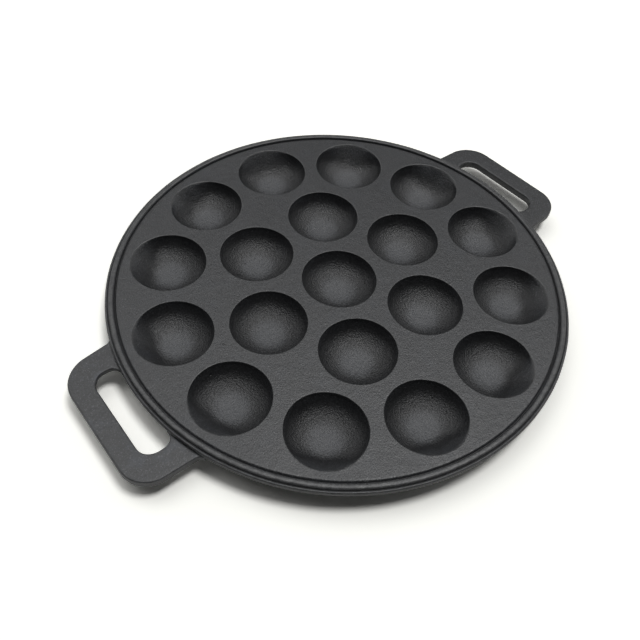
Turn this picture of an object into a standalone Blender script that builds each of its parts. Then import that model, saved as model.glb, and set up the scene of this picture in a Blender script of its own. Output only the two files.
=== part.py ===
"""A cast-iron pan with nineteen round cups for small pancakes and two loop handles.

Everything is in metres, +Z up. The origin is in the middle of the plane that the pan stands on,
and +X runs along the line of the two handles.
"""

import math

import bmesh
import bpy

# The cups
CUP_MOUTH_RADIUS = 0.0211
CUP_DEPTH = 0.0120
CUP_LIP_ROUND = 0.0005
CUP_FLOOR = 0.0045
CUP_WALL = 0.0027
CUP_FOOT_CUT = 0.0006
CUP_OUTWARD_REACH = 0.0006
BOWL_FULLNESS = 2.5
BOWL_FLOOR_TURN = 14.0
INNER_CUPS = 6
INNER_BRIDGE = 0.00715
OUTER_CUPS = 12
OUTER_BRIDGE = 0.00702

# The plate that the cups are sunk in
PLATE_THICKNESS = 0.0045
PLATE_MARGIN = 0.0032
PLATE_EDGE_ROUND = 0.0017
PLATE_EDGE_TURN = 52.0

# The groove round the plate
GROOVE_WIDTH = 0.00275
GROOVE_DEPTH = 0.0011
GROOVE_SLOPE = 0.0005

# The rim: a rounded bead that stands on a band, whose shoulder makes a second and lower bead
BEAD_INNER_WIDTH = 0.00155
BEAD_OUTER_WIDTH = 0.00125
BEAD_CREST = 0.0006
BEAD_SEAT_DROP = 0.0008
BAND_SHOULDER_ROUND = 0.0010
BAND_SHOULDER_START = 138.6
BAND_DRAFT = 0.0003
BAND_FOOT_ROUND = 0.0028
LEDGE_WIDTH = 0.00215
LEDGE_THICKNESS = 0.0011

# The two handles
HANDLE_LENGTH = 0.0246
HANDLE_HALF_WIDTH = 0.0389
HANDLE_ROOT_FLARE = 0.0013
HANDLE_CORNER = 0.0140
HANDLE_ROOT_FILLET = 0.0030
HANDLE_DROP = 0.0033
HANDLE_THICKNESS = 0.0050
HANDLE_EDGE_ROUND = 0.0008
HANDLE_UNDERSIDE_ROUND = 0.0022
GRIP_WIDTH = 0.0113
ARM_WIDTH = 0.0119
SLOT_OUTER_CORNER = 0.0070
SLOT_INNER_FILLET = 0.0050
TONGUE_LENGTH = 0.0061

# Clearances and facets
SEAM_GAP = 0.0003
CUT_MARGIN = 0.0040
ROOT_OVERRUN = 0.0140
MERGE_DISTANCE = 0.00001
ROUND_STEPS = 72
CUP_SEGMENTS = 24
CUP_RINGS = 4
LIP_STEPS = 2
LIP_LAST_TURN = 96.0
BULGE_SEGMENTS = 18
BULGE_RINGS = 3
PLATE_EDGE_STEPS = 3
BEAD_STEPS = 4
SHOULDER_STEPS = 4
FOOT_STEPS = 3
CORNER_STEPS = 7
FILLET_STEPS = 3
EDGE_STEPS = 2
SHARP_ANGLE = 45.0
FLAT_ANGLE = 1.0

# Radii that follow from the sizes above, from the cups outwards
BOWL_RADIUS = CUP_MOUTH_RADIUS - CUP_LIP_ROUND
INNER_RING_RADIUS = (2.0 * CUP_MOUTH_RADIUS + INNER_BRIDGE) / (2.0 * math.sin(math.pi / INNER_CUPS))
OUTER_RING_RADIUS = (2.0 * CUP_MOUTH_RADIUS + OUTER_BRIDGE) / (2.0 * math.sin(math.pi / OUTER_CUPS))
PLATE_FLAT_RADIUS = OUTER_RING_RADIUS + CUP_MOUTH_RADIUS + PLATE_MARGIN
GROOVE_OUTER_RADIUS = PLATE_FLAT_RADIUS + GROOVE_WIDTH
PLATE_EDGE_RADIUS = GROOVE_OUTER_RADIUS - SEAM_GAP
LEDGE_INNER_RADIUS = GROOVE_OUTER_RADIUS - LEDGE_WIDTH
BEAD_CREST_RADIUS = GROOVE_OUTER_RADIUS + BEAD_INNER_WIDTH
BEAD_OUTER_RADIUS = BEAD_CREST_RADIUS + BEAD_OUTER_WIDTH
SHOULDER_RADIUS = BEAD_OUTER_RADIUS - BAND_SHOULDER_ROUND * math.cos(math.radians(BAND_SHOULDER_START))
BAND_RADIUS = SHOULDER_RADIUS + BAND_SHOULDER_ROUND
FOOT_RADIUS = BAND_RADIUS - BAND_DRAFT - BAND_FOOT_ROUND
TONGUE_INNER_RADIUS = BAND_RADIUS - TONGUE_LENGTH
HANDLE_REACH = BAND_RADIUS + HANDLE_LENGTH
HANDLE_ROOT_HALF_WIDTH = HANDLE_HALF_WIDTH + HANDLE_ROOT_FLARE
SLOT_HALF_WIDTH = HANDLE_HALF_WIDTH - ARM_WIDTH

# Heights that follow from them, from the top of the plate down
PLATE_TOP = CUP_DEPTH + CUP_FLOOR
PLATE_UNDERSIDE = PLATE_TOP - PLATE_THICKNESS
GROOVE_FLOOR = PLATE_TOP - GROOVE_DEPTH
BEAD_SEAT = PLATE_TOP - BEAD_SEAT_DROP
SHOULDER_HEIGHT = BEAD_SEAT - BAND_SHOULDER_ROUND * math.sin(math.radians(BAND_SHOULDER_START))
BAND_UNDERSIDE = PLATE_UNDERSIDE - LEDGE_THICKNESS
FOOT_HEIGHT = BAND_UNDERSIDE + BAND_FOOT_ROUND
HANDLE_TOP = PLATE_TOP - HANDLE_DROP
HANDLE_UNDERSIDE = HANDLE_TOP - HANDLE_THICKNESS

IRON_COLOUR = (0.045, 0.047, 0.049, 1.0)
IRON_ROUGHNESS = 0.55


def clear_scene():
    for item in list(bpy.data.objects):
        bpy.data.objects.remove(item, do_unlink=True)


def new_collection(name, parent):
    collection = bpy.data.collections.new(name)
    parent.children.link(collection)
    return collection


def iron(name):
    """Black seasoned cast iron."""
    material = bpy.data.materials.new(name)
    material.use_nodes = True
    shader = material.node_tree.nodes["Principled BSDF"]
    shader.inputs["Base Color"].default_value = IRON_COLOUR
    shader.inputs["Roughness"].default_value = IRON_ROUGHNESS
    return material


def mesh_object(name, points, edges, faces, collection):
    mesh = bpy.data.meshes.new(name)
    mesh.from_pydata(points, edges, faces)
    mesh.update()
    item = bpy.data.objects.new(name, mesh)
    collection.objects.link(item)
    return item


def as_cutter(item):
    item.hide_render = True
    item.display_type = "WIRE"
    return item


def arc(centre, radius, start, end, steps):
    """Points of an arc from angle start to angle end, in degrees, both ends included."""
    points = []
    for step in range(steps + 1):
        angle = math.radians(start + (end - start) * step / steps)
        points.append((centre[0] + radius * math.cos(angle), centre[1] + radius * math.sin(angle)))
    return points


def turned(name, profile, closed, collection):
    """Turns a profile of (radius, height), which runs down its outer side, round the Z axis."""
    points = [(radius, 0.0, height) for radius, height in profile]
    edges = [(i, i + 1) for i in range(len(points) - 1)]
    if closed:
        edges.append((len(points) - 1, 0))
    item = mesh_object(name, points, edges, [], collection)
    screw = item.modifiers.new("Turn", "SCREW")
    screw.axis = "Z"
    screw.angle = math.tau
    screw.steps = ROUND_STEPS
    screw.render_steps = ROUND_STEPS
    screw.use_merge_vertices = True
    screw.merge_threshold = MERGE_DISTANCE
    screw.use_smooth_shade = True
    return item


def boolean(item, operation, other):
    """Adds an exact Boolean with one object or with every object of a collection."""
    step = item.modifiers.new(operation.title(), "BOOLEAN")
    step.operation = operation
    step.solver = "EXACT"
    if isinstance(other, bpy.types.Collection):
        step.operand_type = "COLLECTION"
        step.collection = other
    else:
        step.object = other


# The cups: a hollow that is cut out of the plate and a bulge that hangs under it


def bowl_ring(radius, depth, turn):
    """Radius and depth of one ring of a bowl, from the middle of its floor at turn 0 to its mouth at 90.

    The section is a superellipse: radius * sin(turn) ** (2 / BOWL_FULLNESS) and depth * cos(turn).
    """
    angle = math.radians(turn)
    return radius * math.sin(angle) ** (2.0 / BOWL_FULLNESS), depth * math.cos(angle)


def bowl_rings(radius, depth, first_turn, last_turn, rings):
    turns = [first_turn + (last_turn - first_turn) * ring / rings for ring in range(rings + 1)]
    return [bowl_ring(radius, depth, turn) for turn in turns]


def lofted_bowl(name, section, full_depth, reach_out, segments, collection):
    """A closed solid lofted through rings of (radius, height), from its floor up to its flat top.

    On the side that faces away from the middle of the pan, +X before the bowl is placed, a ring
    reaches further by reach_out times the squared cosine of the direction. This grows from nothing
    at the floor to the whole of it at the mouth.
    """
    points = []
    for radius, height in section:
        share = min(max(1.0 - (PLATE_TOP - height) / full_depth, 0.0), 1.0)
        for segment in range(segments):
            angle = math.tau * segment / segments
            length = radius + reach_out * share * max(math.cos(angle), 0.0) ** 2
            points.append((length * math.cos(angle), length * math.sin(angle), height))
    faces = [list(range(segments))[::-1]]
    for ring in range(len(section) - 1):
        for segment in range(segments):
            following = (segment + 1) % segments
            low = ring * segments
            high = low + segments
            faces.append([low + segment, low + following, high + following, high + segment])
    last = (len(section) - 1) * segments
    faces.append([last + segment for segment in range(segments)])
    item = mesh_object(name, points, [], faces, collection)
    item.data.shade_smooth()
    item.data.set_sharp_from_angle(angle=math.radians(SHARP_ANGLE))
    return as_cutter(item)


def hollow_section():
    """A cup's floor, its wall, its rounded lip and the way out above the plate.

    The lip's arc stops a little short of level, so that the cut meets the plate at an angle.
    """
    lip_turn = math.degrees(math.acos(CUP_LIP_ROUND / CUP_DEPTH))
    rings = bowl_rings(BOWL_RADIUS, CUP_DEPTH, BOWL_FLOOR_TURN, lip_turn, CUP_RINGS)
    section = [(radius, PLATE_TOP - drop) for radius, drop in rings]
    section[0] = (section[0][0], PLATE_TOP - CUP_DEPTH)
    lip_centre = (section[-1][0] + CUP_LIP_ROUND, PLATE_TOP - CUP_LIP_ROUND)
    section += arc(lip_centre, CUP_LIP_ROUND, 180.0, LIP_LAST_TURN, LIP_STEPS)[1:]
    section.append((section[-1][0], PLATE_TOP + CUT_MARGIN))
    return section


def bulge_section():
    """The outside of a cup under the plate, flat where the pan stands."""
    radius = BOWL_RADIUS + CUP_WALL
    depth = PLATE_TOP + CUP_FOOT_CUT
    foot_turn = math.degrees(math.acos(PLATE_TOP / depth))
    web_turn = math.degrees(math.acos(PLATE_THICKNESS / depth))
    rings = bowl_rings(radius, depth, foot_turn, web_turn, BULGE_RINGS)
    section = [(radius, PLATE_TOP - drop) for radius, drop in rings]
    section.append((section[-1][0], PLATE_TOP - PLATE_THICKNESS / 2.0))
    return section


def place_cups(name, section, full_depth, segments, collection):
    places = [(0.0, 0.0, 0.0)]
    for cup in range(INNER_CUPS):
        places.append((INNER_RING_RADIUS, math.tau * cup / INNER_CUPS, 0.0))
    for cup in range(OUTER_CUPS):
        places.append((OUTER_RING_RADIUS, math.tau * (cup + 0.5) / OUTER_CUPS, CUP_OUTWARD_REACH))
    for number, (distance, direction, reach_out) in enumerate(places):
        item = lofted_bowl(f"{name}_{number + 1}", section, full_depth, reach_out, segments, collection)
        item.location = (distance * math.cos(direction), distance * math.sin(direction), 0.0)
        item.rotation_euler = (0.0, 0.0, direction)


# The plate: a turned disc whose edge rolls over into the floor of the groove


def make_cup_plate(parts, bulges, hollows):
    edge_centre = (PLATE_FLAT_RADIUS, PLATE_TOP - PLATE_EDGE_ROUND)
    profile = [(0.0, PLATE_TOP)]
    profile += arc(edge_centre, PLATE_EDGE_ROUND, 90.0, 90.0 - PLATE_EDGE_TURN, PLATE_EDGE_STEPS)
    profile.append((profile[-1][0] + GROOVE_SLOPE, GROOVE_FLOOR))
    profile.append((PLATE_EDGE_RADIUS, GROOVE_FLOOR))
    profile.append((PLATE_EDGE_RADIUS, PLATE_UNDERSIDE))
    profile.append((0.0, PLATE_UNDERSIDE))
    plate = turned("cup_plate", profile, False, parts)
    boolean(plate, "UNION", bulges)
    boolean(plate, "DIFFERENCE", hollows)
    plate.modifiers.new("Keep flat faces flat", "WEIGHTED_NORMAL")
    plate.data.materials.append(iron("cup_plate_iron"))


# The bead stands on the band's flat top and closes the groove on its outer side


def oval_arc(centre, width, rise, start, end, steps):
    """Points as arc() gives them, on an ellipse that reaches width to each side and rise up and down."""
    return [(centre[0] + width * x, centre[1] + rise * z) for x, z in arc((0.0, 0.0), 1.0, start, end, steps)]


def make_rim_bead(parts):
    middle = (BEAD_CREST_RADIUS, BEAD_SEAT)
    rise = BEAD_CREST + BEAD_SEAT_DROP
    profile = oval_arc(middle, BEAD_INNER_WIDTH, rise, 180.0, 90.0, BEAD_STEPS)
    profile += oval_arc(middle, BEAD_OUTER_WIDTH, rise, 90.0, 0.0, BEAD_STEPS)[1:]
    bead = turned("rim_bead", profile, True, parts)
    bead.data.materials.append(iron("rim_bead_iron"))


# The band carries the bead on its top and the plate on a ledge inside it


def make_rim_band(parts):
    shoulder_centre = (SHOULDER_RADIUS, SHOULDER_HEIGHT)
    profile = [(GROOVE_OUTER_RADIUS, BEAD_SEAT)]
    profile += arc(shoulder_centre, BAND_SHOULDER_ROUND, BAND_SHOULDER_START, 0.0, SHOULDER_STEPS)
    profile += arc((FOOT_RADIUS, FOOT_HEIGHT), BAND_FOOT_ROUND, 0.0, -90.0, FOOT_STEPS)
    profile += [
        (LEDGE_INNER_RADIUS, BAND_UNDERSIDE),
        (LEDGE_INNER_RADIUS, PLATE_UNDERSIDE),
        (GROOVE_OUTER_RADIUS, PLATE_UNDERSIDE),
    ]
    band = turned("rim_band", profile, True, parts)
    band.data.materials.append(iron("rim_band_iron"))


# The handles: a level loop on each side whose root butts against the band and runs in under it


def fillet_at_band(line_y, side, fillet):
    """An arc between the band and a line along X, and its end on the band.

    side is 1 where the arc lies outside the line, seen from the X axis, and -1 where it lies inside.
    """
    centre_y = line_y + side * fillet
    centre_x = math.sqrt((BAND_RADIUS + fillet) ** 2 - centre_y ** 2)
    lean = math.degrees(math.atan2(centre_y, centre_x))
    return arc((centre_x, centre_y), fillet, 180.0 + lean, 180.0 + side * 90.0, FILLET_STEPS)


def handle_outline():
    """A handle in plan, drawn as a U: round its outer edge and back along the edge of its slot."""
    inside = TONGUE_INNER_RADIUS - ROOT_OVERRUN
    outer = fillet_at_band(HANDLE_ROOT_HALF_WIDTH, 1.0, HANDLE_ROOT_FILLET)
    corner_centre = (HANDLE_REACH - HANDLE_CORNER, HANDLE_HALF_WIDTH - HANDLE_CORNER)
    outer += arc(corner_centre, HANDLE_CORNER, 90.0, 0.0, CORNER_STEPS)
    slot = fillet_at_band(SLOT_HALF_WIDTH, -1.0, SLOT_INNER_FILLET)
    slot_centre = (HANDLE_REACH - GRIP_WIDTH - SLOT_OUTER_CORNER, SLOT_HALF_WIDTH - SLOT_OUTER_CORNER)
    slot += arc(slot_centre, SLOT_OUTER_CORNER, 90.0, 0.0, CORNER_STEPS)
    half = [(inside, outer[0][1])] + outer
    inner_half = [(inside, slot[0][1])] + slot
    lower_half = [(x, -y) for x, y in reversed(half)]
    lower_inner_half = [(x, -y) for x, y in inner_half]
    return half + lower_half + lower_inner_half + inner_half[::-1]


def slab(name, outline, low, high, collection):
    """A level slab between two heights, as a mesh with one face on top and one underneath."""
    curve = bpy.data.curves.new(name, "CURVE")
    curve.dimensions = "2D"
    curve.fill_mode = "BOTH"
    curve.extrude = (high - low) / 2.0
    spline = curve.splines.new("POLY")
    spline.points.add(len(outline) - 1)
    for point, (x, y) in zip(spline.points, outline):
        point.co = (x, y, 0.0, 1.0)
    spline.use_cyclic_u = True
    source = bpy.data.objects.new(name + "_outline", curve)
    collection.objects.link(source)
    source.location = (0.0, 0.0, (low + high) / 2.0)
    bpy.context.view_layer.update()
    mesh = bpy.data.meshes.new_from_object(source.evaluated_get(bpy.context.evaluated_depsgraph_get()))
    work = bmesh.new()
    work.from_mesh(mesh)
    bmesh.ops.remove_doubles(work, verts=work.verts, dist=MERGE_DISTANCE)
    bmesh.ops.dissolve_limit(work, angle_limit=math.radians(FLAT_ANGLE), verts=work.verts, edges=work.edges)
    work.to_mesh(mesh)
    work.free()
    item = bpy.data.objects.new(name, mesh)
    item.matrix_world = source.matrix_world.copy()
    collection.objects.link(item)
    bpy.data.objects.remove(source, do_unlink=True)
    return item


def round_edges(item, top_round, underside_round):
    """Rounds the edges of a slab's top and, more fully, those of its underside."""
    weights = item.data.attributes.new("bevel_weight_edge", "FLOAT", "EDGE")
    for edge in item.data.edges:
        heights = [item.data.vertices[number].co.z for number in edge.vertices]
        if min(heights) > 0.0:
            weights.data[edge.index].value = top_round / underside_round
        elif max(heights) < 0.0:
            weights.data[edge.index].value = 1.0
    rounding = item.modifiers.new("Round edges", "BEVEL")
    rounding.limit_method = "WEIGHT"
    rounding.width = underside_round
    rounding.segments = EDGE_STEPS
    rounding.use_clamp_overlap = False


def root_cutter(cutters):
    """What the rim takes from a handle: the band with its seam gap, and all that lies further in.

    The gap closes towards the band's flat underside, where the handle's tongue bears on it.
    """
    inside = TONGUE_INNER_RADIUS - 2.0 * ROOT_OVERRUN
    seat_width = BAND_RADIUS + SEAM_GAP - FOOT_RADIUS
    profile = [(inside, HANDLE_TOP + CUT_MARGIN), (FOOT_RADIUS + seat_width, HANDLE_TOP + CUT_MARGIN)]
    profile += oval_arc((FOOT_RADIUS, FOOT_HEIGHT), seat_width, BAND_FOOT_ROUND, 0.0, -90.0, FOOT_STEPS)
    profile += [
        (TONGUE_INNER_RADIUS, BAND_UNDERSIDE),
        (TONGUE_INNER_RADIUS, HANDLE_UNDERSIDE - CUT_MARGIN),
        (inside, HANDLE_UNDERSIDE - CUT_MARGIN),
    ]
    return as_cutter(turned("root_cutter", profile, True, cutters))


def make_handles(parts, cutters):
    cutter = root_cutter(cutters)
    for name, turn in (("handle_left", math.pi), ("handle_right", 0.0)):
        loop = slab(name, handle_outline(), HANDLE_UNDERSIDE, HANDLE_TOP, parts)
        loop.rotation_euler = (0.0, 0.0, turn)
        round_edges(loop, HANDLE_EDGE_ROUND, HANDLE_UNDERSIDE_ROUND)
        boolean(loop, "DIFFERENCE", cutter)
        loop.data.shade_smooth()
        loop.data.set_sharp_from_angle(angle=math.radians(SHARP_ANGLE))
        loop.data.materials.clear()
        loop.data.materials.append(iron(name + "_iron"))


def main():
    clear_scene()
    parts = new_collection("poffertjes_pan", bpy.context.scene.collection)
    cutters = new_collection("cutters", bpy.context.scene.collection)
    bulges = new_collection("cup_bulges", cutters)
    hollows = new_collection("cup_hollows", cutters)
    place_cups("bulge", bulge_section(), PLATE_TOP, BULGE_SEGMENTS, bulges)
    place_cups("hollow", hollow_section(), CUP_DEPTH, CUP_SEGMENTS, hollows)
    make_cup_plate(parts, bulges, hollows)
    make_rim_bead(parts)
    make_rim_band(parts)
    make_handles(parts, cutters)


main()
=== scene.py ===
import math

import bmesh
import bpy
import numpy as np
from mathutils import Matrix, Vector
from mathutils.geometry import delaunay_2d_cdt


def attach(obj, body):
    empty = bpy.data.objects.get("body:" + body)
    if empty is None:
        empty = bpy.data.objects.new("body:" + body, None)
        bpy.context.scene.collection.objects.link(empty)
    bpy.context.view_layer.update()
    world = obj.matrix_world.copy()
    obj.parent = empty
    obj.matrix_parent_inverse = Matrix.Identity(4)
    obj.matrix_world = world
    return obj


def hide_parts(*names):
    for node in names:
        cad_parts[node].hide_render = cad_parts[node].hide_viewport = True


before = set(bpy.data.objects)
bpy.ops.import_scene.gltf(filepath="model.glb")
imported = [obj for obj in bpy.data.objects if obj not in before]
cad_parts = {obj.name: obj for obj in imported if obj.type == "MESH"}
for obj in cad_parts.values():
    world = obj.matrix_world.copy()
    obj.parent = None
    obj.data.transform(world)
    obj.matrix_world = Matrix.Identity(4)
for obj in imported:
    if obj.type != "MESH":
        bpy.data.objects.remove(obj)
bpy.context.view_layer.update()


# The body of the pan: a round plate with nineteen cups sunk in it, a groove and two beads round its
# edge, all one piece of cast iron. It was poured in a sand mould, so every edge is a little rounded,
# and the skin has kept the grain of the sand. Sizes are in mm, and steps run from 0 to 1 along a section.

MM = 0.001
PLATE_TOP = 16.5
PLATE_UNDERSIDE = 12.0
PLATE_EDGE = 118.8
RINGS_OF_CUPS = ((1, 0.0, 0.0), (6, 49.35, 0.0), (12, 95.1, 15.0))
OUTER_CUPS_FROM = 80.0
CUP_DEPTH = 12.0
CUP_RADIUS = 20.6
CUP_FULLNESS = 2.5
CUP_LIP = 0.5
CUP_LAND = 0.35
WALL_ENDS = 0.75
LIP_ENDS = 0.95
SLOPE_FULL = 18.0
SLOPE_ENDS = 66.0
BULGE_RADIUS = 23.3
BULGE_DEPTH = 17.1
SKIRT_RADIUS = 24.1
SKIRT_DEPTH = 6.3
SKIRT_SPREAD = 0.43
SKIRT_ENDS = 0.3
BULGE_ENDS = 0.85
CUP_WAVES = ((0.09, 2), (0.06, 3), (0.03, 5))
RIM_WAVES = ((0.05, 5), (0.03, 13), (0.02, 29))
RIM_WAVES_START = (1.0, 2.0, 0.0)
RIM_WAVES_FROM = 119.3
RIM_WAVES_FULL = 122.0
RIM_LIMIT = 126.7
# Paler lips and beads, partly bare metal and partly painted sheen: place, half width and power, and the
# lower bead's share.
LIP_WEAR_AND_SHEEN = (0.88, 0.06, 2)
BEAD_WEAR_AND_SHEEN = (123.5, 1.15, 6)
LOWER_BEAD_WEAR_AND_SHEEN = 0.6
# Painted shade in the crease and the groove of the rim: middle, half width and power of each band, and its
# strength.
CREASE_PAINTED_SHADE = (124.95, 0.35, 4)
GROOVE_PAINTED_SHADE = (121.35, 0.4, 4)
RIM_PAINTED_SHADE = 0.45
# How much less painted shade the sloped side of the outer cups gets.
SLOPE_LESS_SHADE = 0.45
ROUND = 96
RIM_ROUND = 288
CUP_STEPS = 31


def cup_centres():
    """Middle of each cup in plan, and its direction and distance from the pan's middle.

    A ring of cups has a number of cups, a radius and a first direction, from which they are evenly spread.
    """
    count = np.array([ring[0] for ring in RINGS_OF_CUPS])
    distance = np.repeat([ring[1] for ring in RINGS_OF_CUPS], count)
    start = np.repeat([ring[2] for ring in RINGS_OF_CUPS], count)
    place = np.concatenate([np.arange(n) / n for n in count])
    direction = np.radians(start) + math.tau * place
    return distance * np.cos(direction), distance * np.sin(direction), direction, distance


def smooth_step(value, low, high):
    """0 below low, 1 above high and 3s^2 - 2s^3 between them."""
    share = np.clip((value - low) / (high - low), 0.0, 1.0)
    return share * share * (3.0 - 2.0 * share)


def spot(value, middle, half, power):
    """1 in the middle, 0.37 at half to either side, and fading: exp(-((value - middle) / half)^power)."""
    return np.exp(-(((value - middle) / half) ** power))


def waver(turn, waves, starts):
    """The unevenness of an outline in mm, the sum of size * sin(count * turn + start)."""
    return sum(size * np.sin(count * turn + start) for (size, count), start in zip(waves, starts))


def cup_section(step):
    """Radius and depth of a cup's hollow, for step from 0 in its middle to 1 outside its lip.

    The wall is a superellipse, radius = CUP_RADIUS * sin(a) ** (2 / CUP_FULLNESS) and
    depth = CUP_DEPTH * cos(a). Where it is as deep as CUP_LIP * (1 - cos(slope)), it turns over
    without a kink into an arc of radius CUP_LIP that ends level with the plate.
    """
    fine = np.linspace(0.03, math.pi / 2.0 - 0.001, 600)
    power = 2.0 / CUP_FULLNESS
    run = CUP_RADIUS * power * np.sin(fine) ** (power - 1.0) * np.cos(fine)
    slope = np.arctan2(CUP_DEPTH * np.sin(fine), run)
    join = np.argmin(np.abs(CUP_DEPTH * np.cos(fine) - CUP_LIP * (1.0 - np.cos(slope))))
    angle = np.clip(step / WALL_ENDS, 0.0, 1.0) * fine[join]
    radius = CUP_RADIUS * np.sin(angle) ** power
    depth = CUP_DEPTH * np.cos(angle)
    left = slope[join] * (1.0 - np.clip((step - WALL_ENDS) / (LIP_ENDS - WALL_ENDS), 0.0, 1.0))
    end = CUP_RADIUS * np.sin(fine[join]) ** power + CUP_LIP * math.sin(slope[join])
    rolled = step > WALL_ENDS
    radius = np.where(rolled, end - CUP_LIP * np.sin(left), radius)
    depth = np.where(rolled, CUP_LIP * (1.0 - np.cos(left)), depth)
    return radius + CUP_LAND * np.clip((step - LIP_ENDS) / (1.0 - LIP_ENDS), 0.0, 1.0), depth


def smooth_line(knots, steps):
    """A smooth curve through knots. Each span is a cubic, whose slope at a knot is half the way from the
    knot before it to the knot after it.
    """
    knots = np.pad(np.array(knots, dtype=float), ((1, 1), (0, 0)), mode="edge")[:, None, :]
    before, first, second, after = knots[:-3], knots[1:-2], knots[2:-1], knots[3:]
    t = (np.arange(steps) / steps)[None, :, None]
    cubic = 2.0 * first + (second - before) * t
    cubic = cubic + (2.0 * before - 5.0 * first + 4.0 * second - after) * t ** 2
    cubic = 0.5 * (cubic + (3.0 * first - before - 3.0 * second + after) * t ** 3)
    return np.concatenate([cubic.reshape(-1, 2), knots[-1]])


def sloped_section(step):
    """Radius and depth of the outer cups' outward side, which lies back at about 45 degrees.

    The lip starts at the tenth knot, and the land outside it at the last but one.
    """
    knots = (
        (0.0, 12.0), (4.6, 11.85), (8.2, 11.25), (10.7, 10.15), (12.8, 8.6), (14.8, 6.8), (16.7, 4.8),
        (18.4, 2.9), (19.75, 1.4), (20.65, 0.5), (21.06, 0.12), (21.3, 0.0), (21.75, 0.0),
    )
    finer = 16
    curve = smooth_line(knots, finer)
    along = finer * np.interp(step, [0.0, 0.84, LIP_ENDS, 1.0], [0.0, 9.0, 11.0, 12.0])
    return (np.interp(along, np.arange(len(curve)), curve[:, side]) for side in (0, 1))


def cup_bulge(step):
    """Radius and height of a cup's underside, from step 0 at the plate to 1 in its middle.

    A skirt leaves the plate along a parabola. At SKIRT_DEPTH under the plate's top it joins a
    superellipse, which is cut level where the pan stands.
    """
    skirt = np.clip(step / SKIRT_ENDS, 0.0, 1.0)
    skirt_height = SKIRT_DEPTH - (PLATE_TOP - PLATE_UNDERSIDE)
    join_radius = BULGE_RADIUS * (1.0 - (SKIRT_DEPTH / BULGE_DEPTH) ** 2) ** (1.0 / CUP_FULLNESS)
    corner_radius = join_radius + SKIRT_SPREAD * skirt_height
    radius = (1 - skirt) ** 2 * SKIRT_RADIUS + 2 * skirt * (1 - skirt) * corner_radius
    radius = radius + skirt ** 2 * join_radius
    height = PLATE_UNDERSIDE - skirt ** 2 * skirt_height
    first = math.acos(SKIRT_DEPTH / BULGE_DEPTH)
    last = math.acos(PLATE_TOP / BULGE_DEPTH)
    angle = first + (last - first) * np.clip((step - SKIRT_ENDS) / (BULGE_ENDS - SKIRT_ENDS), 0.0, 1.0)
    below = step > SKIRT_ENDS
    radius = np.where(below, BULGE_RADIUS * np.sin(angle) ** (2.0 / CUP_FULLNESS), radius)
    height = np.where(below, PLATE_TOP - BULGE_DEPTH * np.cos(angle), height)
    radius = radius * (1.0 - np.clip((step - BULGE_ENDS) / (1.0 - BULGE_ENDS), 0.0, 1.0))
    return radius, height


def rim_outline():
    """Section of the rim, as radius and height over the plate's top.

    It runs from the plate over the groove, the bead, the crease and the lower bead to the underside.
    """
    groove = [(PLATE_EDGE, 0.0), (119.9, 0.0), (120.5, -0.12), (120.85, -0.45), (121.15, -0.95)]
    groove += [(121.4, -1.15), (121.6, -0.95), (121.75, -0.4), (122.0, 0.2)]
    bead = [(122.4, 0.5), (123.2, 0.6), (124.05, 0.5), (124.6, 0.15), (124.88, -0.45), (124.97, -0.9)]
    lower_bead = [(125.15, -0.9), (125.55, -0.5), (126.15, -0.55), (126.6, -1.25), (126.65, -2.3)]
    foot = [(126.4, -3.1), (125.95, -4.0), (125.2, -4.85), (124.2, -5.4), (123.2, -5.6), (121.2, -5.6)]
    foot += [(120.5, -5.5), (120.15, -5.15), (119.9, -4.7), (119.45, -4.5)]
    return smooth_line(groove + bead + lower_bead + foot, 2)


def grid_faces(grid):
    """Quads of a grid of points that is closed round, numbered row * columns + column."""
    rows, columns = grid.shape[:2]
    row = np.arange(rows - 1)[:, None]
    column = np.arange(columns)[None, :]
    following = (column + 1) % columns
    corners = [row * columns + column, row * columns + following, (row + 1) * columns + following]
    corners.append((row + 1) * columns + column)
    return np.stack([c + 0 * row for c in corners], axis=-1).reshape(-1, 4)


def cup_hollows():
    """The hollow of each cup as a grid with its masks, row by row from its middle outwards.

    The outer cups pass into the sloped section towards the pan's edge, with less painted shade there.
    """
    x, y, direction, distance = cup_centres()
    turn = math.tau * np.arange(ROUND) / ROUND
    step = np.linspace(0.0, 1.0, CUP_STEPS)[:, None]
    round_radius, round_depth = cup_section(step)
    wide_radius, wide_depth = sloped_section(step)
    rubbed_and_sheen = spot(step, *LIP_WEAR_AND_SHEEN)
    chance = np.random.default_rng(7)
    surfaces = []
    for cup in range(len(x)):
        outward = np.abs((turn - direction[cup] + math.pi) % math.tau - math.pi)
        lean = 1.0 - smooth_step(outward, math.radians(SLOPE_FULL), math.radians(SLOPE_ENDS))[None, :]
        lean = lean * (1.0 if distance[cup] > OUTER_CUPS_FROM else 0.0)
        # A cup draws four phases, and its three waves use the first three.
        wobble = waver(turn, CUP_WAVES, chance.uniform(0.0, math.tau, 4))
        depth = round_depth * (1.0 - lean) + wide_depth * lean
        reach = round_radius * (1.0 - lean) + wide_radius * lean
        reach = reach + (1.0 - depth / CUP_DEPTH) * wobble[None, :]
        reach[0] = 0.0
        grid = np.stack([
            x[cup] + reach * np.cos(turn)[None, :],
            y[cup] + reach * np.sin(turn)[None, :],
            PLATE_TOP - depth,
        ], axis=-1)
        # Depth in the cup, which also sets the painted shade on its walls and the painted highlight on its
        # floor.
        hollow_and_shade = depth / CUP_DEPTH * (1.0 - SLOPE_LESS_SHADE * lean * (depth < 0.85 * CUP_DEPTH))
        surfaces.append((grid, grid_faces(grid), rubbed_and_sheen + 0.0 * reach, hollow_and_shade))
    return surfaces


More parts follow.
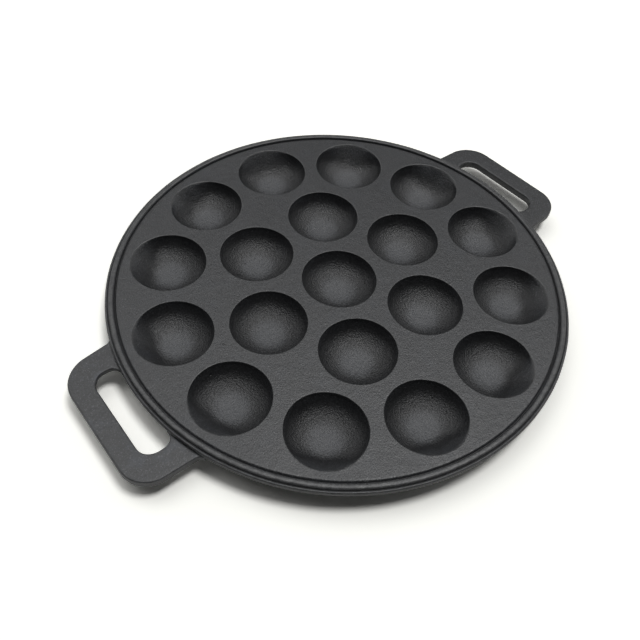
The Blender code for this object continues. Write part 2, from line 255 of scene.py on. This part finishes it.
def rim_surface():
    """The rim as a grid with its masks. Its beads are paler, partly bare metal and partly painted sheen,
    and its groove and crease are darkened as painted shade.
    """
    outline = rim_outline()
    turn = math.tau * np.arange(RIM_ROUND) / RIM_ROUND
    free = smooth_step(outline[:, :1], RIM_WAVES_FROM, RIM_WAVES_FULL)
    wobble = waver(turn, RIM_WAVES, RIM_WAVES_START)
    radius = np.minimum(outline[:, :1] + free * wobble[None, :], RIM_LIMIT)
    grid = np.stack([
        radius * np.cos(turn)[None, :],
        radius * np.sin(turn)[None, :],
        PLATE_TOP + outline[:, 1:] + 0.0 * turn[None, :],
    ], axis=-1)
    line, level = outline.T
    bead = spot(line, *BEAD_WEAR_AND_SHEEN) * smooth_step(level, -0.5, 0.2)
    rubbed_and_sheen = np.maximum(bead, LOWER_BEAD_WEAR_AND_SHEEN * smooth_step(line, 125.2, 126.0))
    # Painted shade in the groove and the crease.
    hollow_and_shade = RIM_PAINTED_SHADE * (spot(line, *CREASE_PAINTED_SHADE) + spot(line, *GROOVE_PAINTED_SHADE)) * (level > -2.0)
    return grid, grid_faces(grid)[:, ::-1], np.repeat(rubbed_and_sheen, RIM_ROUND), np.repeat(hollow_and_shade, RIM_ROUND)


def cup_bulges():
    """The underside of each cup as a grid with empty masks, row by row from the plate inwards."""
    x, y, _, _ = cup_centres()
    turn = math.tau * np.arange(ROUND) / ROUND
    skirt = np.linspace(0.0, SKIRT_ENDS, 4)
    bulge = np.linspace(SKIRT_ENDS, BULGE_ENDS, 7)[1:]
    radius, height = cup_bulge(np.concatenate([skirt, bulge, [1.0]])[:, None])
    surfaces = []
    for cup in range(len(x)):
        across = x[cup] + radius * np.cos(turn)[None, :]
        along = y[cup] + radius * np.sin(turn)[None, :]
        grid = np.stack([across, along, height + 0.0 * across], axis=-1)
        surfaces.append((grid, grid_faces(grid), np.zeros(across.size), np.zeros(across.size)))
    return surfaces


def flat_web(outer, rings, height):
    """Triangles between an outer outline and round holes, all level, and as even as they can be."""
    outlines = [outer] + list(rings)
    points = np.concatenate(outlines)
    edges = []
    start = 0
    for outline in outlines:
        number = np.arange(len(outline))
        edges.append(np.stack([start + number, start + (number + 1) % len(outline)], axis=1))
        start += len(outline)
    owner = np.repeat(np.arange(len(outlines)), [len(outline) for outline in outlines])
    result = delaunay_2d_cdt([Vector(p) for p in points], np.concatenate(edges).tolist(), [], 1, 1e-7)
    came_from = np.array([origin[0] for origin in result[3]])
    triangles = came_from[np.array(result[2])]
    kinds = owner[triangles]
    in_hole = (kinds[:, 0] == kinds[:, 1]) & (kinds[:, 1] == kinds[:, 2]) & (kinds[:, 0] > 0)
    return np.column_stack([points, np.full(len(points), height)]), triangles[~in_hole]


def body_arrays():
    """Every surface of the body as one set of points, quads, triangles and masks.

    The mask edge is 1 where the iron is paler, partly bare metal and partly painted sheen. The mask hollow
    runs from 0 at the plate to 1 in a cup's floor, which sets the painted shade on the walls, and carries
    the painted shade in the groove and the crease.
    """
    hollows = cup_hollows()
    rim = rim_surface()
    bulges = cup_bulges()
    top_rings = [grid[-1, :, :2] for grid, _, _, _ in hollows]
    foot_rings = [grid[0, :, :2] for grid, _, _, _ in bulges]
    web, faces = flat_web(rim[0][0, :, :2], top_rings, PLATE_TOP)
    top = (web, faces, np.zeros(len(web)), np.zeros(len(web)))
    web, faces = flat_web(rim[0][-1, :, :2], foot_rings, PLATE_UNDERSIDE)
    foot = (web, faces[:, ::-1], np.zeros(len(web)), np.zeros(len(web)))
    points, edge, hollow = [], [], []
    faces = {3: [], 4: []}
    total = 0
    for grid, corners, rubbed_and_sheen, hollow_and_shade in (*hollows, rim, top, *bulges, foot):
        points.append(grid.reshape(-1, 3))
        faces[corners.shape[1]].append(total + corners)
        edge.append(rubbed_and_sheen.ravel())
        hollow.append(hollow_and_shade.ravel())
        total += len(points[-1])
    masks = {"edge": np.concatenate(edge), "hollow": np.concatenate(hollow)}
    return np.concatenate(points) * MM, np.concatenate(faces[4]), np.concatenate(faces[3]), masks


def new_piece(name, points, quads, triangles, masks):
    """A mesh from arrays, welded where its surfaces meet and smooth all over."""
    corners = np.concatenate([quads.ravel(), triangles.ravel()]).astype(np.int32)
    sizes = np.concatenate([np.full(len(quads), 4), np.full(len(triangles), 3)]).astype(np.int32)
    starts = np.concatenate([[0], np.cumsum(sizes)[:-1]]).astype(np.int32)
    mesh = bpy.data.meshes.new(name)
    mesh.vertices.add(len(points))
    mesh.vertices.foreach_set("co", points.astype(np.float32).ravel())
    mesh.loops.add(len(corners))
    mesh.loops.foreach_set("vertex_index", corners)
    mesh.polygons.add(len(sizes))
    mesh.polygons.foreach_set("loop_start", starts)
    mesh.update(calc_edges=True)
    for mask, values in masks.items():
        attribute = mesh.attributes.new(mask, "FLOAT", "POINT")
        attribute.data.foreach_set("value", values.astype(np.float32))
    mesh.validate()
    work = bmesh.new()
    work.from_mesh(mesh)
    bmesh.ops.remove_doubles(work, verts=work.verts, dist=0.002 * MM)
    bmesh.ops.recalc_face_normals(work, faces=work.faces)
    work.to_mesh(mesh)
    print(name, "has", sum(1 for side in work.edges if not side.is_manifold), "open edges")
    work.free()
    mesh.shade_smooth()
    piece = bpy.data.objects.new(name, mesh)
    bpy.context.scene.collection.objects.link(piece)
    return piece


def linked(tree, kind, **inputs):
    """A node of a kind, with each named or numbered input set to a value or joined to a socket."""
    node = tree.nodes.new(kind)
    for name, value in inputs.items():
        socket = node.inputs[int(name[1:]) if name[1:].isdigit() else name.replace("_", " ")]
        if isinstance(value, bpy.types.NodeSocket):
            tree.links.new(value, socket)
        else:
            socket.default_value = value
    return node


def noise(tree, where, scale, detail, roughness):
    """Noise from 0 to 1 with scale humps to a metre."""
    node = linked(tree, "ShaderNodeTexNoise", Vector=where, Scale=scale, Detail=detail, Roughness=roughness)
    return node.outputs["Fac"]


def mapped(tree, value, low, high, to_low, to_high):
    """Smoothly from to_low to to_high, where value goes from low to high."""
    node = linked(tree, "ShaderNodeMapRange", Value=value)
    node.interpolation_type = "SMOOTHSTEP"
    for socket, number in zip(("From Min", "From Max", "To Min", "To Max"), (low, high, to_low, to_high)):
        node.inputs[socket].default_value = number
    return node.outputs["Result"]


def reckoned(tree, operation, first, second, third=0.0):
    """The result of one operation on two or three numbers."""
    node = linked(tree, "ShaderNodeMath", i0=first, i1=second, i2=third)
    node.operation = operation
    return node.outputs[0]


def blended(tree, share, first, second):
    """The colour first * (1 - share) + second * share."""
    node = tree.nodes.new("ShaderNodeMix")
    node.data_type = "RGBA"
    for socket, value in ((node.inputs[0], share), (node.inputs[6], first), (node.inputs[7], second)):
        if isinstance(value, bpy.types.NodeSocket):
            tree.links.new(value, socket)
        else:
            socket.default_value = value
    return node.outputs[2]


GRAIN_SCALE = 1150.0
GLINT_SCALE = 1700.0
SWELL_SCALE = 330.0
PIT_SCALE = 210.0
OIL_SCALE = 95.0
PATCH_SCALE = 42.0
DARK_GRAIN = (0.010, 0.0105, 0.0115, 1.0)
PALE_GRAIN = (0.030, 0.0315, 0.0345, 1.0)
OILED_IRON = (0.024, 0.0255, 0.028, 1.0)
BLUE_IRON = (0.040, 0.047, 0.060, 1.0)
# Pale dots painted as glints on the grain.
PAINTED_GLINT = (0.095, 0.099, 0.107, 1.0)
# Painted shade on the cup walls and in the rim's groove and crease.
PAINTED_WALL_SHADE = (0.0035, 0.0035, 0.004, 1.0)
# Painted highlight on the middle of the cup floors.
CUP_FLOOR_HIGHLIGHT = (0.070, 0.073, 0.079, 1.0)
# Paler edges, partly bare metal and partly painted sheen.
WORN_IRON_AND_SHEEN = (0.085, 0.086, 0.086, 1.0)
PIT_BLACK = (0.006, 0.006, 0.006, 1.0)
OILED_SHINE = 0.75


def sand_cast_skin():
    """A group for iron as it comes out of a sand mould: sand grain, swells, a few pits, oil patches and
    pale dots painted as glints.

    The grain stands higher in the cups. Their walls and the rim's groove and crease are darkened as painted
    shade, their floors are paler as a painted highlight, and the edges are paler, partly bare metal and
    partly painted sheen.
    """
    group = bpy.data.node_groups.new("sand_cast_skin", "ShaderNodeTree")
    for name, kind in (("Position", "Vector"), ("Edge", "Float"), ("Hollow", "Float"), ("Blue", "Float")):
        group.interface.new_socket(name, in_out="INPUT", socket_type="NodeSocket" + kind)
    for name, kind in (("Colour", "Color"), ("Roughness", "Float"), ("Height", "Float")):
        group.interface.new_socket(name, in_out="OUTPUT", socket_type="NodeSocket" + kind)
    given = group.nodes.new("NodeGroupInput")
    out = group.nodes.new("NodeGroupOutput")
    where = given.outputs["Position"]
    hollow = given.outputs["Hollow"]
    grain = noise(group, where, GRAIN_SCALE, 3.0, 0.62)
    glint_noise = noise(group, where, GLINT_SCALE, 2.0, 0.5)
    swell = noise(group, where, SWELL_SCALE, 2.0, 0.5)
    patch = noise(group, where, PATCH_SCALE, 4.0, 0.55)
    oil = noise(group, where, OIL_SCALE, 3.0, 0.6)
    cell = linked(group, "ShaderNodeTexVoronoi", Vector=where, Scale=PIT_SCALE, Randomness=1.0)
    spread = linked(group, "ShaderNodeSeparateColor", Color=cell.outputs["Color"]).outputs[0]
    size = mapped(group, spread, 0.93, 1.0, 0.0, 0.16)
    pit = mapped(group, reckoned(group, "SUBTRACT", cell.outputs["Distance"], size), -0.08, 0.0, 1.0, 0.0)

    in_cup = mapped(group, hollow, 0.3, 0.75, 1.0, 2.2)
    fine = reckoned(group, "MULTIPLY", reckoned(group, "SUBTRACT", grain, 0.5), in_cup)
    height = reckoned(group, "MULTIPLY_ADD", swell, 0.9, fine)
    height = reckoned(group, "SUBTRACT", height, reckoned(group, "MULTIPLY", pit, 1.2))

    iron = blended(group, mapped(group, grain, 0.3, 0.72, 0.0, 1.0), DARK_GRAIN, PALE_GRAIN)
    iron = blended(group, mapped(group, patch, 0.35, 0.7, 0.0, 0.35), iron, OILED_IRON)
    blue = reckoned(group, "MULTIPLY", mapped(group, oil, 0.5, 0.68, 0.0, 0.5), given.outputs["Blue"])
    iron = blended(group, blue, iron, BLUE_IRON)
    # Pale dots painted as glints on the grain.
    iron = blended(group, mapped(group, glint_noise, 0.55, 0.72, 0.0, 0.9), iron, PAINTED_GLINT)
    # Painted shade: the cup walls and the rim's groove and crease are darkened, fading out towards the cup
    # floors.
    wall = mapped(group, hollow, 0.12, 0.45, 0.0, 0.65)
    wall = reckoned(group, "MULTIPLY", wall, mapped(group, hollow, 0.84, 0.98, 1.0, 0.0))
    iron = blended(group, wall, iron, PAINTED_WALL_SHADE)
    # Painted highlight: the middle of each cup's floor is paler, with a grainy border.
    floor_highlight_mask = reckoned(group, "MULTIPLY_ADD", grain, 0.16, hollow)
    iron = blended(group, mapped(group, floor_highlight_mask, 0.98, 1.09, 0.0, 0.9), iron, CUP_FLOOR_HIGHLIGHT)
    # Paler edges, partly bare metal and partly painted sheen, patchy with the swells.
    worn_and_sheen = reckoned(group, "MULTIPLY", given.outputs["Edge"], mapped(group, swell, 0.35, 0.6, 0.25, 1.0))
    iron = blended(group, reckoned(group, "MULTIPLY", worn_and_sheen, 0.55), iron, WORN_IRON_AND_SHEEN)
    iron = blended(group, reckoned(group, "MULTIPLY", pit, 0.75), iron, PIT_BLACK)

    rough = mapped(group, patch, 0.3, 0.7, 0.41, 0.47)
    rough = reckoned(group, "ADD", rough, mapped(group, grain, 0.3, 0.7, -0.05, 0.05))
    group.links.new(iron, out.inputs["Colour"])
    group.links.new(rough, out.inputs["Roughness"])
    group.links.new(height, out.inputs["Height"])
    return group


skin_group = sand_cast_skin()


def cast_iron(name, blue, depth_of_grain):
    """Black cast iron with an oiled skin, whose grain is that many mm deep."""
    material = bpy.data.materials.new(name)
    material.use_nodes = True
    tree = material.node_tree
    shader = tree.nodes["Principled BSDF"]
    place = tree.nodes.new("ShaderNodeTexCoord")
    skin = tree.nodes.new("ShaderNodeGroup")
    skin.node_tree = skin_group
    tree.links.new(place.outputs["Object"], skin.inputs["Position"])
    for mask in ("Edge", "Hollow"):
        attribute = tree.nodes.new("ShaderNodeAttribute")
        attribute.attribute_name = mask.lower()
        tree.links.new(attribute.outputs["Fac"], skin.inputs[mask])
    skin.inputs["Blue"].default_value = blue
    deep = depth_of_grain * MM
    bump = linked(tree, "ShaderNodeBump", Height=skin.outputs["Height"], Strength=1.0, Distance=deep)
    tree.links.new(skin.outputs["Colour"], shader.inputs["Base Color"])
    tree.links.new(skin.outputs["Roughness"], shader.inputs["Roughness"])
    tree.links.new(bump.outputs["Normal"], shader.inputs["Normal"])
    shader.inputs["Specular IOR Level"].default_value = OILED_SHINE
    return material


body = new_piece("pan_body", *body_arrays())
body.data.materials.append(cast_iron("cast_iron_plate", blue=0.25, depth_of_grain=0.22))
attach(body, "root")
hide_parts("cup_plate", "rim_bead", "rim_band")


# The two handles: flat loops cast on to the rim, big enough for two fingers or a pot holder.
# Each is a bar with a flat top and upright outer side, whose underside rounds up towards the slot.
# It flares where it grows out of the band, and there its underside rises into the band.

HANDLE_TOP = 13.2
HANDLE_UNDERSIDE = 8.2
TOP_ROUND = 0.8
FOOT_ROUND = 1.2
BAND = 126.5
LOOP_REACH = 151.6
LOOP_CORNER = 16.0
ROOT_FLARE = 4.0
ROOT_WIDER = 0.8
GRIP_EDGE = 139.9
SLOT_CORNER = 7.8
SLOT_ROOT_FLARE = 5.6
SLANT_FROM = 127.5
ROOT_RISE = 2.9
ROOT_RISE_FULL = 124.5
ROOT_RISE_ENDS = 131.0
SUNK = (6.2, 4.6, 3.0, 1.5)
SUNK_RISE = (1.0, 0.5, 0.0, 0.0)


def flare(line, side, fillet, turns):
    """An arc of radius fillet that joins the band's circle to a line along X at y = line.

    Its centre is fillet off the line, to that side, and BAND + fillet from the pan's middle.
    """
    centre_y = line + side * fillet
    centre_x = math.sqrt((BAND + fillet) ** 2 - centre_y ** 2)
    first = math.atan2(centre_y, centre_x) + math.pi
    last = math.pi + side * math.pi / 2.0
    angle = first + (last - first) * turns
    return centre_x + fillet * np.cos(angle), centre_y + fillet * np.sin(angle)


def half_loop(half_width, slot_half_width):
    """Outer and inner edge of half a handle in plan, station by station, from the band to its tip.

    Each is a flare, a straight arm, a quarter circle and half of the straight grip.
    """
    turns = np.linspace(0.0, 1.0, 9)
    outer = np.column_stack(flare(half_width + ROOT_WIDER, 1.0, ROOT_FLARE, turns))
    inner = np.column_stack(flare(slot_half_width, -1.0, SLOT_ROOT_FLARE, turns))
    corner = np.radians(np.linspace(90.0, 0.0, 19))
    quarter = np.column_stack([np.cos(corner), np.sin(corner)])
    outer_corner = np.array([LOOP_REACH, half_width]) - LOOP_CORNER * (1.0 - quarter)
    inner_corner = np.array([GRIP_EDGE, slot_half_width]) - SLOT_CORNER * (1.0 - quarter)
    share = np.linspace(0.0, 1.0, 6)[1:-1, None]
    outer = np.concatenate([outer, outer[-1] + share * (outer_corner[0] - outer[-1]), outer_corner])
    inner = np.concatenate([inner, inner[-1] + share * (inner_corner[0] - inner[-1]), inner_corner])
    share = np.linspace(0.0, 1.0, 8)[1:, None]
    outer = np.concatenate([outer, outer[-1] * (1 - share) + np.array([[LOOP_REACH, 0.0]]) * share])
    inner = np.concatenate([inner, inner[-1] * (1 - share) + np.array([[GRIP_EDGE, 0.0]]) * share])
    return outer, inner


def inward(edge_line, side):
    """Unit normals of an edge line in plan, which point into the bar."""
    along = np.gradient(edge_line, axis=0)
    normal = np.column_stack([along[:, 1], -along[:, 0]]) * side
    return normal / np.linalg.norm(normal, axis=1, keepdims=True)


def sunk_ends(line):
    """An edge line with its ends led on towards the pan's middle, SUNK mm deep into the band."""
    depth = np.array(SUNK)[:, None]
    ends = line[[0, -1]] / np.linalg.norm(line[[0, -1]], axis=1, keepdims=True)
    head = line[0] - depth * ends[0]
    tail = (line[-1] - depth * ends[1])[::-1]
    return np.concatenate([head, line, tail])


def rounded(width, height):
    """Inset and drop, step by step, of a quarter ellipse from its upright end to its level end."""
    quarter = np.radians(np.linspace(0.0, 90.0, 8))
    return width * (1.0 - np.cos(quarter)), height * np.sin(quarter)


def bar_rows(outer, inner, outer_in, inner_in, under, scoop):
    """Lines along the bar, in plan and height, one for each point round its section, and their edge mask of
    bare metal and painted sheen.

    They run over the top, down the outer side, back under and up the inner side. The corners are
    quarter ellipses, which are set in from the two edge lines along the lines' own normals.
    """
    top = np.full(len(outer), HANDLE_TOP)
    edge_in, edge_down = rounded(TOP_ROUND, TOP_ROUND)
    foot_in, foot_up = rounded(FOOT_ROUND, FOOT_ROUND)
    scoop_in, scoop_up = rounded(*scoop)
    shoulder = HANDLE_TOP - edge_down[-1]
    room = (shoulder - under) / (shoulder - HANDLE_UNDERSIDE)
    outer_top = outer + outer_in * edge_in[-1]
    inner_top = inner + inner_in * edge_in[-1]
    outer_foot = outer + outer_in * foot_in[-1]
    inner_foot = inner + inner_in * scoop_in[-1]
    rows = []
    for share in np.linspace(0.0, 1.0, 9):
        rows.append((inner_top * (1 - share) + outer_top * share, top, 0.0))
    for inset, down in zip(edge_in[::-1][1:], edge_down[::-1][1:]):
        rows.append((outer + outer_in * inset, top - (edge_down[-1] - down), 1.0 - inset / edge_in[-1]))
    for inset, up in zip(foot_in, foot_up):
        rows.append((outer + outer_in * inset, under + (foot_up[-1] - up) * room, 0.0))
    for share in np.linspace(0.0, 1.0, 5)[1:-1]:
        rows.append((outer_foot * (1 - share) + inner_foot * share, under, 0.0))
    for inset, up in zip(scoop_in[::-1], scoop_up[::-1]):
        rows.append((inner + inner_in * inset, under + (scoop_up[-1] - up) * room, 0.0))
    for inset, down in zip(edge_in[:-1], edge_down[:-1]):
        rows.append((inner + inner_in * inset, top - (edge_down[-1] - down), 1.0 - inset / edge_in[-1]))
    plan, height, wear_and_sheen = zip(*rows)
    return np.stack(plan, axis=1), np.stack(height, axis=1), wear_and_sheen


def loop_arrays(turn, arm, other_arm, slant, scoop):
    """The bar as a grid, stations along the loop by points round its section, with a cap at each end.

    Each arm has its own half widths, and the grip slants by x = x + slant * y away from the band.
    """
    outer, inner = half_loop(*arm)
    other_outer, other_inner = half_loop(*other_arm)
    outer = np.concatenate([outer, other_outer[-2::-1] * [1, -1]])
    inner = np.concatenate([inner, other_inner[-2::-1] * [1, -1]])
    for line in (outer, inner):
        line[:, 0] += slant * line[:, 1] * smooth_step(line[:, 0], SLANT_FROM, GRIP_EDGE)
    pad = ((len(SUNK), len(SUNK)), (0, 0))
    outer_in = np.pad(inward(outer, 1.0), pad, mode="edge")
    inner_in = np.pad(inward(inner, -1.0), pad, mode="edge")
    outer = sunk_ends(outer)
    inner = sunk_ends(inner)
    lift = np.concatenate([SUNK_RISE, np.zeros(len(outer) - 2 * len(SUNK_RISE)), SUNK_RISE[::-1]])
    out = 0.5 * (np.linalg.norm(outer, axis=1) + np.linalg.norm(inner, axis=1))
    lift = lift + ROOT_RISE * (1.0 - smooth_step(out, ROOT_RISE_FULL, ROOT_RISE_ENDS))
    plan, height, wear_and_sheen = bar_rows(outer, inner, outer_in, inner_in, HANDLE_UNDERSIDE + lift, scoop)

    across = plan[..., 0] * math.cos(turn) - plan[..., 1] * math.sin(turn)
    along = plan[..., 0] * math.sin(turn) + plan[..., 1] * math.cos(turn)
    grid = np.stack([across, along, height], axis=-1)
    middle = grid.mean(axis=1)[[0, -1]]
    stations, around = grid.shape[:2]
    count = stations * around
    number = np.arange(around)
    following = (number + 1) % around
    start = count - around
    caps = np.concatenate([
        np.stack([following, number, np.full(around, count)], axis=1),
        np.stack([start + number, start + following, np.full(around, count + 1)], axis=1),
    ])
    masks = {"edge": np.concatenate([np.tile(wear_and_sheen, stations), [0.0, 0.0]]), "hollow": np.zeros(count + 2)}
    return np.concatenate([grid.reshape(-1, 3), middle]) * MM, grid_faces(grid), caps, masks


# Side, turn, half width of the loop and of its slot in either arm, slant, the inset and height of the
# underside's round towards the slot, and how blue the iron is.
LOOPS = (
    ("left", math.pi, (38.6, 25.8), (41.2, 27.8), 0.045, (4.2, 3.2), 1.0),
    ("right", 0.0, (38.6, 26.6), (38.6, 26.6), -0.032, (1.6, 1.4), 0.0),
)
for side, turn, arm, other_arm, slant, scoop, blue in LOOPS:
    loop = new_piece("loop_" + side, *loop_arrays(turn, arm, other_arm, slant, scoop))
    loop.data.materials.append(cast_iron("cast_iron_loop_" + side, blue, depth_of_grain=0.2))
    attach(loop, "root")
    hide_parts("handle_" + side)


# The floor is a plain white sheet, which keeps the pan's shadow. Straight from the camera it is seen
# whiter than it lights the pan.

FLOOR_HALF = 3.0
FLOOR_COLOUR = (0.80, 0.80, 0.78, 1.0)
FLOOR_SEEN = (1.38, 1.38, 1.32, 1.0)


def floor_sheet():
    """A square sheet at the height that the pan stands on."""
    corners = np.array([(-1, -1, 0), (1, -1, 0), (1, 1, 0), (-1, 1, 0)]) * FLOOR_HALF
    mesh = bpy.data.meshes.new("floor")
    mesh.from_pydata(corners.tolist(), [], [(0, 1, 2, 3)])
    floor = bpy.data.objects.new("floor", mesh)
    bpy.context.scene.collection.objects.link(floor)
    material = bpy.data.materials.new("white_sheet")
    material.use_nodes = True
    tree = material.node_tree
    tree.nodes.remove(tree.nodes["Principled BSDF"])
    path = tree.nodes.new("ShaderNodeLightPath")
    seen = reckoned(tree, "MAXIMUM", path.outputs["Is Camera Ray"], path.outputs["Is Transmission Ray"])
    cover = linked(tree, "ShaderNodeBsdfDiffuse", Color=blended(tree, seen, FLOOR_COLOUR, FLOOR_SEEN))
    tree.links.new(cover.outputs["BSDF"], tree.nodes["Material Output"].inputs["Surface"])
    mesh.materials.append(material)


floor_sheet()


# The light is that of a white tent: a lamp high above the pan and a little to its right, a bright
# ceiling behind the pan and to its left, and bright walls on both sides. The wall behind is dim,
# and the side that the camera looks in from is nearly dark. Angles are in degrees.

VIEW_BEARING = 45.76
LAMP = 0.43
LAMP_SPREAD = 18.0
LAMP_TURN = -70.0
LAMP_LEAN = 15.0

# Each patch: strength, turn to the left of the view, rise, and the cosine at which it has faded out.
TENT = {
    "back ceiling": (0.9, 0.0, 66.0, 0.85),
    "left ceiling": (1.3, 60.0, 62.0, 0.85),
    "front wall": (0.1, 180.0, 45.0, 0.8),
    "back wall's left": (0.12, 45.0, 30.0, 0.8),
    "back wall's right": (0.12, -45.0, 30.0, 0.8),
    "left wall": (0.9, 58.0, 10.0, 0.82),
    "right wall": (0.9, -58.0, 10.0, 0.82),
}


def studio_light():
    """The tent is the world, plain white to the camera, and the lamp is a sun with soft edges.

    A patch adds strength * (3s^2 - 2s^3), where s runs from 0 to 1 as the cosine of the angle to the
    patch's middle goes from where it has faded out to 1.
    """
    world = bpy.data.worlds.new("tent")
    bpy.context.scene.world = world
    world.use_nodes = True
    tree = world.node_tree
    toward = tree.nodes.new("ShaderNodeTexCoord").outputs["Generated"]
    total = 0.0
    for strength, turn, rise, faded in TENT.values():
        bearing = math.radians(VIEW_BEARING + turn)
        rise = math.radians(rise)
        level = math.cos(rise)
        middle = (math.cos(bearing) * level, math.sin(bearing) * level, math.sin(rise))
        facing = linked(tree, "ShaderNodeVectorMath", i0=toward, i1=middle)
        facing.operation = "DOT_PRODUCT"
        patch = mapped(tree, facing.outputs["Value"], faded, 1.0, 0.0, strength)
        total = reckoned(tree, "ADD", patch, total)
    path = tree.nodes.new("ShaderNodeLightPath")
    seen = reckoned(tree, "MAXIMUM", path.outputs["Is Camera Ray"], total)
    background = tree.nodes["Background"]
    background.inputs["Color"].default_value = (1.0, 1.0, 1.0, 1.0)
    tree.links.new(seen, background.inputs["Strength"])
    lamp = bpy.data.lights.new("overhead", "SUN")
    lamp.energy = LAMP * math.pi
    lamp.angle = math.radians(LAMP_SPREAD)
    hung = bpy.data.objects.new("overhead", lamp)
    hung.rotation_euler = (0.0, math.radians(LAMP_LEAN), math.radians(VIEW_BEARING + LAMP_TURN))
    bpy.context.scene.collection.objects.link(hung)


studio_light()


# The camera stands where the photograph was taken from: to the left and in front, looking down.
# Its place is in mm from the middle of the plate's top, and its angles are in degrees.

VIEW_TILT = -52.32
VIEW_ROLL = 4.84
VIEW_WIDTH = 49.0
VIEW_FROM = (-185.35, -177.9, 293.1)


def place_camera():
    """Its line of sight has a bearing and a tilt, and the view is rolled about that line."""
    data = bpy.data.cameras.new("camera")
    data.sensor_fit = "HORIZONTAL"
    data.angle = math.radians(VIEW_WIDTH)
    data.clip_start = 0.01
    camera = bpy.data.objects.new("camera", data)
    bpy.context.scene.collection.objects.link(camera)
    bearing, tilt, roll = map(math.radians, (VIEW_BEARING, VIEW_TILT, VIEW_ROLL))
    forward = Vector((
        math.cos(tilt) * math.cos(bearing),
        math.cos(tilt) * math.sin(bearing),
        math.sin(tilt),
    ))
    level = forward.cross(Vector((0.0, 0.0, 1.0))).normalized()
    upward = level.cross(forward)
    right = level * math.cos(roll) + upward * math.sin(roll)
    top = upward * math.cos(roll) - level * math.sin(roll)
    turned = Matrix((right, top, -forward)).transposed().to_4x4()
    place = (Vector(VIEW_FROM) + Vector((0.0, 0.0, PLATE_TOP))) * MM
    camera.matrix_world = Matrix.Translation(place) @ turned
    bpy.context.scene.camera = camera


place_camera()
bpy.context.scene.view_settings.view_transform = "Standard"
